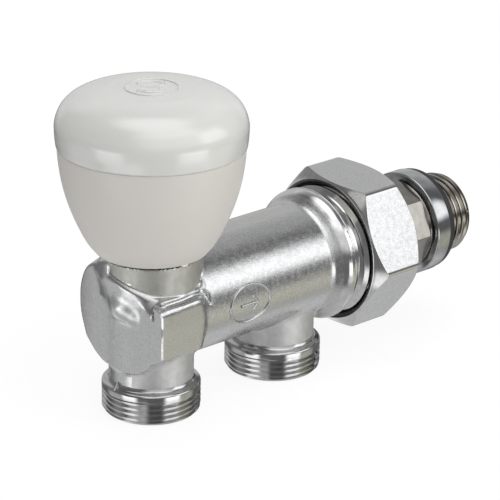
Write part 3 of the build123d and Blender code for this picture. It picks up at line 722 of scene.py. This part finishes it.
def nut_rows(R):
    # outside of the section from the mouth to the tail end, then back through the bore
    f0 = 57.2 + (R - 18.3) * (2.6 / 3.3)
    f1 = 72.55 - (R - 18.3) * (2.95 / 3.3)
    k0 = min(0.16, max(0.02, (f0 - 57.2) * 0.3))
    k1 = min(0.16, max(0.02, (72.55 - f1) * 0.3))
    cone0 = lambda x: 18.3 + (x - 57.2) * 3.3 / 2.6
    cone1 = lambda x: 18.3 + (72.55 - x) * 3.3 / 2.95
    rows = [(57.0, 17.56, 1), (57.0, 17.75, 1), (57.0, 18.02, 1), (57.03, 18.12, 1), (57.1, 18.22, 1), (57.2, 18.31, 1)]
    for t in (0.25, 0.5, 0.75):
        x = 57.2 + (f0 - k0 - 57.2) * t
        rows.append((x, cone0(x), 1))
    rows += [(f0 - k0, cone0(f0 - k0), 1), (f0 - 0.1 * k0, R - 0.14 * k0, 0), (f0 + 0.35 * k0, R - 0.05 * k0, 0), (f0 + k0, R, 0), (f0 + k0 + 0.25, R, 0)]
    for t in (0.12, 0.3, 0.5, 0.7, 0.88):
        rows.append((f0 + (f1 - f0) * t, R, 0))
    rows += [(f1 - k1 - 0.25, R, 0), (f1 - k1, R, 0), (f1 - 0.35 * k1, R - 0.05 * k1, 0), (f1 + 0.1 * k1, R - 0.14 * k1, 1), (f1 + k1, cone1(f1 + k1), 1)]
    for t in (0.25, 0.5, 0.75):
        x = f1 + k1 + (72.55 - f1 - k1) * t
        rows.append((x, cone1(x), 1))
    rows += [(72.55, 18.31, 1), (72.66, 18.2, 1), (72.76, 18.08, 1), (72.8, 17.9, 1),
             (72.8, 15.0, 1), (72.8, 13.35, 1), (72.77, 13.24, 1), (72.7, 13.14, 1),
             (72.35, 12.78, 1), (72.25, 12.71, 1), (72.1, 12.70, 1), (66.52, 12.70, 1),
             (66.5, 12.74, 1), (66.5, 16.56, 1), (66.45, 16.6, 1), (62.0, 16.6, 1), (57.95, 16.6, 1), (57.82, 16.65, 1), (57.06, 17.44, 1), (57.02, 17.5, 1)]
    return rows


nut, tags, ncol = prism_ring("union_nut_shell", 37.0, 6, HEX_TURN, 1.9, nut_rows, seg_flat=26, seg_corner=9)
nrow = len(tags)


def nut_zone(c, n):
    r = math.hypot(c.y, c.z - ZC)
    # zone 2 paints shade: the mouth chamfer and the bore get the near-black chrome
    if c.x < 58.2 and (r < 17.9 and n.x < -0.15 or r < 17.7) or (r < 17.0 and c.x < 72.0):
        return 2
    lean = (math.degrees(math.atan2(n.z, n.y)) - HEX_TURN - 30.0 + 30.0) % 60.0 - 30.0
    return 0 if (abs(n.x) < 0.3 and r > 18.3 and abs(lean) < 3.0) else 1


tag_faces(nut, nut_zone)
place(nut, "nut", (M["blast"], M["chrome_x"], M["mouth"]), ("union_nut",))

# ------------------------------------------------------------------ tail piece
neck_pts = [(60.3, 7.9), (60.3, 10.9), (60.33, 11.05), (60.85, 11.56), (60.9, 11.5), (60.9, 10.95), (61.0, 10.9), (62.0, 10.9), (62.1, 11.0),
            (62.1, 12.75), (62.16, 12.9), (62.6, 13.33), (62.75, 13.4), (64.3, 13.4), (64.4, 13.3), (64.4, 11.7), (64.5, 11.6),
            (66.3, 11.6), (66.4, 11.7), (66.4, 12.3), (66.5, 12.4), (73.0, 12.4), (73.12, 12.36), (73.2, 12.26), (73.2, 7.9)]
neck = lathe("tail_neck", neck_pts, axis="x", seg=160)
place(neck, "tail", (M["tail"],), ("tail_piece",))


def wrench_rows(R):
    rows = [(73.2, 7.92, 0), (73.2, 11.0, 0), (73.2, 11.6, 0)]
    # chamfer cone of the corners
    xa = 73.2 + max(0.0, (R - 11.9)) * 1.0
    xb = 83.8 - max(0.0, (R - 11.9)) * 1.0
    r_end = min(R, 11.9)
    rows += [(73.2, r_end, 0), (xa, R - 0.02, 0), (xa + 0.12, R, 0), (xa + 0.4, R, 0), (76.5, R, 0), (78.5, R, 0), (80.5, R, 0),
             (xb - 0.4, R, 0), (xb - 0.12, R, 0), (xb, R - 0.02, 0), (83.8, r_end, 0), (83.8, 11.4, 0), (83.8, 7.92, 0)]
    return rows


wr, _, _ = prism_ring("tail_wrench_octagon", 22.9, 8, 1.73 + 22.5 * 0 + 43.27 - 1.73 + 0.0, 0.35, wrench_rows, seg_flat=14, seg_corner=4)
place(wr, "tail", (M["tail_flats"],), ("tail_piece",))

pre = [(97.0, 7.9), (83.8, 7.9), (83.8, 11.1), (83.9, 11.28), (84.05, 11.3), (84.75, 11.3), (84.86, 11.34), (84.9, 11.45),
       (84.9, 13.12), (84.93, 13.3), (85.02, 13.44), (85.16, 13.53), (85.34, 13.55), (89.35, 13.55),
       (89.5, 13.53), (89.62, 13.45), (89.69, 13.33), (89.7, 13.15), (89.7, 10.1), (89.75, 9.95), (89.9, 9.9), (91.5, 9.9), (91.58, 9.8), (91.62, 9.6), (91.66, 9.5)]
post = [(100.0, 10.05), (100.3, 9.9), (100.5, 9.74), (100.58, 9.6), (100.6, 9.4), (100.6, 8.3), (100.56, 8.12), (100.45, 8.0), (100.2, 7.92)]
tail_end = threaded("tail_flange_and_thread", pre, post, 91.7, 99.95, 9.478, 10.08, 25.4 / 14, 10.4775, 1.0, 0.0, 0.0, axis="x", seg=200, flat=0.11, root=0.09)


def tail_zone(c, n):
    r = math.hypot(c.y, c.z - ZC)
    return 1 if (84.85 < c.x < 89.72 and r > 11.5) else 0


tag_faces(tail_end, tail_zone)
place(tail_end, "tail", (M["tail"], M["tail_flange"]), ("tail_piece",))
seal = lathe("flange_seal_ring", [(89.72, 10.6), (89.72, 12.9), (89.8, 13.12), (89.98, 13.26), (90.25, 13.32), (91.0, 13.32), (91.25, 13.26),
                                  (91.42, 13.12), (91.5, 12.9), (91.5, 10.6)], axis="x", seg=180)
place(seal, "tail", (M["rubber"],), ("flange_seal",))


# ------------------------------------------------------------------ knob
def spline(pts, n=8):
    """Catmull-Rom through (radius, height) points."""
    p = np.asarray(pts, float)
    ext = np.vstack([2 * p[0] - p[1], p, 2 * p[-1] - p[-2]])
    out = []
    for i in range(1, len(ext) - 2):
        a, b, c, d = ext[i - 1], ext[i], ext[i + 1], ext[i + 2]
        for t in np.linspace(0, 1, n, endpoint=False):
            out.append(0.5 * ((2 * b) + (-a + c) * t + (2 * a - 5 * b + 4 * c - d) * t * t + (-a + 3 * b - 3 * c + d) * t ** 3))
    out.append(p[-1])
    return [(float(q[1]), float(q[0])) for q in out]


cup_out = [(13.45, 41.1), (15.65, 44.0), (17.7, 48.0), (19.35, 52.0), (20.65, 56.0), (21.55, 60.0), (22.1, 64.0), (22.3, 66.85)]
o = spline(cup_out)
o = [(41.36, 13.62)] + [q for q in o if q[0] > 41.5]
rim = [(41.62, 12.36), (41.30, 12.16), (41.14, 12.20), (41.05, 12.40), (41.03, 12.75), (41.06, 13.10), (41.15, 13.38)]
top = [(66.98, 22.28), (67.08, 22.22), (67.16, 22.12), (67.2, 21.98), (67.2, 20.62), (67.15, 20.53), (67.0, 20.5),
       (60.6, 20.5), (60.5, 20.4), (60.5, 5.3), (60.45, 5.05), (60.3, 5.0), (53.3, 5.0), (53.2, 5.1), (53.2, 7.45), (53.3, 7.6),
       (58.4, 7.9), (58.6, 8.1), (58.6, 19.4)]
inn = [(q[0], q[1]) for q in spline([(19.6, 58.6), (18.9, 56.0), (17.5, 52.0), (15.85, 48.0), (13.85, 44.0), (12.5, 41.9)], 5)][1:]
cup = lathe("knob_cup", rim + o + top + inn, axis="z", seg=256)
place(cup, "handwheel", (M["cup"],), ("knob_shell",))


def rib(name, ang):
    """A stiffening web between hub and cup wall."""
    prof = [(7.7, 53.35), (17.75, 53.35), (18.3, 54.6), (19.1, 57.0), (19.5, 58.75), (7.85, 58.75)]
    half = 0.7
    ca, sa = math.cos(ang), math.sin(ang)
    verts, faces = [], []
    ring = []
    for side in (-1, 1):
        for inset, hw in ((0.0, half - 0.15), (0.0, half)):
            pass
    for hw, grow in ((-half, -0.12), (-half + 0.12, 0.0), (half - 0.12, 0.0), (half, -0.12)):
        row = []
        for r, z in prof:
            zz = z - grow if z < 54 else z
            row.append((r * ca - hw * sa, r * sa + hw * ca, zz))
        ring.append(row)
    g = np.array(ring)
    v, f = grid_mesh(g, True, False)
    f = list(f) + [tuple(range(len(prof)))[::-1], tuple(3 * len(prof) + k for k in range(len(prof)))]
    return make_object(name, v, f, 30.0)


for k in range(6):
    place(rib(f"knob_rib_{k}", math.radians(60 * k)), "handwheel", (M["cup"],), ("knob_shell",))

cap_out = [(22.60, 67.75), (22.80, 69.5), (22.88, 71.2), (22.86, 72.6), (22.42, 74.4), (21.4, 76.45), (19.5, 78.38),
           (16.5, 79.85), (12.0, 80.8), (9.0, 81.08), (6.0, 81.22), (3.0, 81.29), (0.15, 81.3)]
c = spline(cap_out, 9)
low = [(67.28, 20.6), (67.25, 20.8), (67.25, 22.2), (67.28, 22.36), (67.36, 22.48), (67.5, 22.56)]
cin = [(q[0], q[1]) for q in spline([(0.15, 79.4), (6.0, 79.3), (12.0, 78.9), (16.0, 78.1), (18.3, 77.0), (19.9, 75.4),
                                      (20.7, 73.4), (21.0, 71.5), (20.9, 69.6), (19.5, 68.6)], 4)]
skirt = [(68.4, 19.4), (61.7, 19.4), (61.6, 19.5), (61.6, 20.1), (61.66, 20.2), (62.4, 20.44), (66.9, 20.44), (67.1, 20.5)]
cap = lathe("knob_top_cap", low + c + cin + skirt, axis="z", seg=288)
place(cap, "handwheel", (M["cap"],), ("knob_cap",))


# raised generic turning mark on the cap: a ring, an arc arrow, plus and minus
def cap_height(r):
    zz = [q[0] for q in c][::-1]
    rr = [q[1] for q in c][::-1]
    return float(np.interp(r, rr, zz))


def on_cap(u, v, h):
    return (u, v, cap_height(math.hypot(u, v)) + h)


def turned(pts, ang):
    ca, sa = math.cos(ang), math.sin(ang)
    return [(x * ca - y * sa, x * sa + y * ca) for x, y in pts]


FACE = math.radians(-132.85)        # the mark's foot points to the camera's side
MW, MH = 0.30, 0.30
place(wrapped_strip("cap_mark_ring", circle_line(6.3, 128), 0.24, 0.26, True, on_cap, 0.2), "handwheel", (M["cap"],))
for k, (a0, a1) in enumerate(((148, 42), (-32, -138))):
    arcp = [(4.15 * math.cos(t), 4.15 * math.sin(t)) for t in np.linspace(math.radians(a0), math.radians(a1), 28)]
    place(wrapped_strip("cap_mark_arc_%d" % k, turned(arcp, FACE + math.pi / 2), MW, MH, False, on_cap, 0.2), "handwheel", (M["cap"],))
    tip = arcp[-1]
    tdir = math.radians(a1 - 90)
    hd = [(tip[0] - 1.3 * math.cos(tdir) + s_ * 1.0 * math.cos(tdir + math.pi / 2), tip[1] - 1.3 * math.sin(tdir) + s_ * 1.0 * math.sin(tdir + math.pi / 2))
          for s_ in (1, -1)]
    hd.insert(1, (tip[0] + 0.2 * math.cos(tdir), tip[1] + 0.2 * math.sin(tdir)))
    place(wrapped_strip("cap_mark_arrow_head_%d" % k, turned(hd, FACE + math.pi / 2), MW, MH - 0.01, False, on_cap, 0.2), "handwheel", (M["cap"],))
place(wrapped_strip("cap_mark_minus", turned([(-2.7, 0.0), (-0.7, 0.0)], FACE + math.pi / 2), MW, MH, False, on_cap, 0.2), "handwheel", (M["cap"],))
place(wrapped_strip("cap_mark_plus_a", turned([(0.7, 0.0), (2.7, 0.0)], FACE + math.pi / 2), MW, MH, False, on_cap, 0.2), "handwheel", (M["cap"],))
place(wrapped_strip("cap_mark_plus_b", turned([(1.7, -1.0), (1.7, 1.0)], FACE + math.pi / 2), MW, MH - 0.01, False, on_cap, 0.2), "handwheel", (M["cap"],))

# ------------------------------------------------------------------ CAD nodes that stay
KEEP = {
    "bonnet": "brass", "bonnet_o_ring": "rubber", "gland_nut": "brass", "thrust_washer": "ptfe", "spindle": "steel",
    "spindle_o_rings": "rubber", "plug_carrier": "brass", "seat_washer": "rubber", "washer_retainer": "steel",
    "washer_screw": "steel", "knob_insert": "brass", "knob_screw_washer": "steel", "knob_screw": "steel",
    "flow_tube": "copper", "flow_tube_o_ring": "rubber", "tail_o_ring": "rubber", "snap_ring": "steel",
}
for n, k in KEEP.items():
    dress(NODES[n], M[k])

# ------------------------------------------------------------------ floor, light, camera
scene = bpy.context.scene
fl = bpy.data.meshes.new("floor")
S = 3.0
fl.from_pydata([(-S, -S, 0), (S, -S, 0), (S, S, 0), (-S, S, 0)], [], [(0, 1, 2, 3)])
floor = bpy.data.objects.new("floor", fl)
scene.collection.objects.link(floor)
floor.location.z = -0.00002
mf = Mat("pale_floor").set(metal=0.0, rough=0.9, spec=0.1)
mf.color(mf.ramp(mf.noise(3.0, 2.0), [(0.3, (0.16, 0.16, 0.16, 1)), (0.7, (0.17, 0.17, 0.17, 1))]))
mf.b.inputs["Emission Color"].default_value = (1.0, 1.0, 1.0, 1.0)
mf.b.inputs["Emission Strength"].default_value = 0.88
dress(floor, mf.m)
# the lower half of the studio stands for the table in reflections, so the floor itself is only seen directly
floor.visible_glossy = False
floor.visible_diffuse = False
floor.visible_shadow = False
floor.visible_transmission = False


# Studio: every light is a soft patch of the surrounding, given by its middle and half width in degrees.
# Azimuth 0 is in front (-Y) and grows towards +X. The last numbers are strength and tint.
PATCHES = [
    # az, half az, el, half el, edge az, edge el, strength, tint
    (0, 200, 0, 100, 5, 5, 0.18, (1, 1, 1)),             # room
    (40, 16, 23, 15, 8, 7, 1.60, (1, 1, 1)),             # right softbox
    (-82, 14, 18, 10, 8, 8, 0.05, (1, 1, 1)),            # wall above the left strip
    (-14, 46, 54, 12, 18, 14, 1.48, (1, 1, 1)),          # overhead, camera side
    (0, 200, 80, 12, 10, 12, 1.60, (1, 1, 1)),           # ceiling
    (10, 17, -15, 9, 6, 5, 2.20, (1, 1, 1)),              # right strip light
    (-92, 16, -16, 9, 7, 5, 2.00, (1, 1, 1)),            # left strip light
    (14, 22, -32, 8, 8, 5, 0.60, (1, 1, 1)),             # right strip in the table
    (-76, 24, -34, 8, 8, 5, 1.10, (1, 1, 1)),            # left strip in the table
    (0, 200, -70, 26, 10, 8, 0.40, (1, 1, 1)),           # table under and near
    (-12, 40, 24, 12, 14, 8, 0.72, (1, 1, 1)),           # wall, camera side
    (142, 36, 14, 24, 14, 9, 0.44, (1, 1, 1)),          # paper behind
    (-168, 26, 18, 24, 12, 10, 0.10, (1, 1, 1)),         # paper, left end
    (-124, 16, 0, 20, 8, 10, 0.12, (1, 1, 1)),          # left wall
    (84, 26, 10, 16, 12, 8, 0.10, (1, 1, 1)),            # right wall
    (104, 40, -46, 9, 12, 6, 0.17, (1, 1, 1)),           # table, right
    (172, 34, -44, 14, 14, 8, 0.45, (1, 1, 1)),          # table, back
    (-134, 18, -30, 14, 12, 8, 0.45, (1, 1, 1)),         # table, left
    (132, 46, 46, 12, 14, 9, 0.26, (1, 1, 1)),           # high behind
    (50, 17, -28, 13, 9, 7, 0.42, (1, 0.98, 0.74)),      # warm part of the table
]

w = bpy.data.worlds.new("studio")
scene.world = w
w.use_nodes = True
nt = w.node_tree
nt.nodes.clear()


def wn(kind, **kw):
    n = nt.nodes.new(kind)
    for k, v in kw.items():
        setattr(n, k, v)
    return n


def smooth(sock, lo, hi, amount=1.0):
    r = wn("ShaderNodeMapRange", interpolation_type="SMOOTHSTEP")
    r.inputs["From Min"].default_value = lo
    r.inputs["From Max"].default_value = hi
    r.inputs["To Min"].default_value = 0.0
    r.inputs["To Max"].default_value = amount
    nt.links.new(sock, r.inputs["Value"])
    return r


def times(a, b):
    m = wn("ShaderNodeMath", operation="MULTIPLY")
    nt.links.new(a, m.inputs[0])
    nt.links.new(b, m.inputs[1])
    return m.outputs[0]


ray = wn("ShaderNodeTexCoord").outputs["Generated"]
axes = wn("ShaderNodeSeparateXYZ")
nt.links.new(ray, axes.inputs[0])
flat = wn("ShaderNodeCombineXYZ")
nt.links.new(axes.outputs["X"], flat.inputs["X"])
nt.links.new(axes.outputs["Y"], flat.inputs["Y"])
unit = wn("ShaderNodeVectorMath", operation="NORMALIZE")
nt.links.new(flat.outputs[0], unit.inputs[0])
total = None
for i, (p_az, p_ha, p_el, p_he, s_az, s_el, amount, tint) in enumerate(PATCHES):
    masks = []
    if p_ha < 180:
        d = wn("ShaderNodeVectorMath", operation="DOT_PRODUCT")
        nt.links.new(unit.outputs[0], d.inputs[0])
        d.inputs[1].default_value = (math.sin(math.radians(p_az)), -math.cos(math.radians(p_az)), 0.0)
        masks.append(smooth(d.outputs["Value"], math.cos(math.radians(min(179, p_ha + s_az))),
                            math.cos(math.radians(max(0.5, p_ha - s_az)))).outputs[0])
    lo0, lo1 = p_el - p_he - s_el, p_el - p_he + s_el
    hi0, hi1 = p_el + p_he - s_el, p_el + p_he + s_el
    if lo0 > -89:
        masks.append(smooth(axes.outputs["Z"], math.sin(math.radians(lo0)), math.sin(math.radians(lo1))).outputs[0])
    if hi1 < 89:
        masks.append(smooth(axes.outputs["Z"], math.sin(math.radians(hi1)), math.sin(math.radians(hi0))).outputs[0])
    m = None
    for k in masks:
        m = k if m is None else times(m, k)
    sc = wn("ShaderNodeVectorMath", operation="SCALE")
    sc.inputs[0].default_value = tuple(t * amount for t in tint)
    sc.inputs["Scale"].default_value = 1.0
    sc.name = f"patch_{i}"
    if m is not None:
        nt.links.new(m, sc.inputs["Scale"])
    if total is None:
        total = sc.outputs[0]
    else:
        ad = wn("ShaderNodeVectorMath", operation="ADD")
        nt.links.new(total, ad.inputs[0])
        nt.links.new(sc.outputs[0], ad.inputs[1])
        total = ad.outputs[0]
light = wn("ShaderNodeBackground")
nt.links.new(total, light.inputs[0])
light.inputs[1].default_value = 1.0
seen = wn("ShaderNodeBackground")
seen.inputs[0].default_value = (1, 1, 1, 1)
seen.inputs[1].default_value = 1.0
path = wn("ShaderNodeLightPath")
mix = wn("ShaderNodeMixShader")
wo = wn("ShaderNodeOutputWorld")
nt.links.new(path.outputs["Is Camera Ray"], mix.inputs[0])
nt.links.new(light.outputs[0], mix.inputs[1])
nt.links.new(seen.outputs[0], mix.inputs[2])
nt.links.new(mix.outputs[0], wo.inputs[0])

scene.view_settings.view_transform = "Standard"
scene.view_settings.look = "None"
scene.view_settings.exposure = 0.0
scene.view_settings.gamma = 1.0

AZ, EL, ROLL = math.radians(-42.85), math.radians(21.2), math.radians(0.94)
back = Vector((math.sin(AZ) * math.cos(EL), -math.cos(AZ) * math.cos(EL), math.sin(EL)))
right = Vector((math.cos(AZ), math.sin(AZ), 0.0))
up = back.cross(right)
right, up = right * math.cos(ROLL) + up * math.sin(ROLL), -right * math.sin(ROLL) + up * math.cos(ROLL)
cam_data = bpy.data.cameras.new("camera")
cam = bpy.data.objects.new("camera", cam_data)
scene.collection.objects.link(cam)
where = Vector((0.0319, 0.0, 0.03271)) + back * 0.67749
cam.matrix_world = Matrix((
    (right.x, up.x, back.x, where.x), (right.y, up.y, back.y, where.y), (right.z, up.z, back.z, where.z), (0, 0, 0, 1)))
cam_data.sensor_width = 36.0
cam_data.lens = 2754.31 / 500 * 36.0
cam_data.clip_start = 0.01
cam_data.clip_end = 20.0
scene.camera = cam
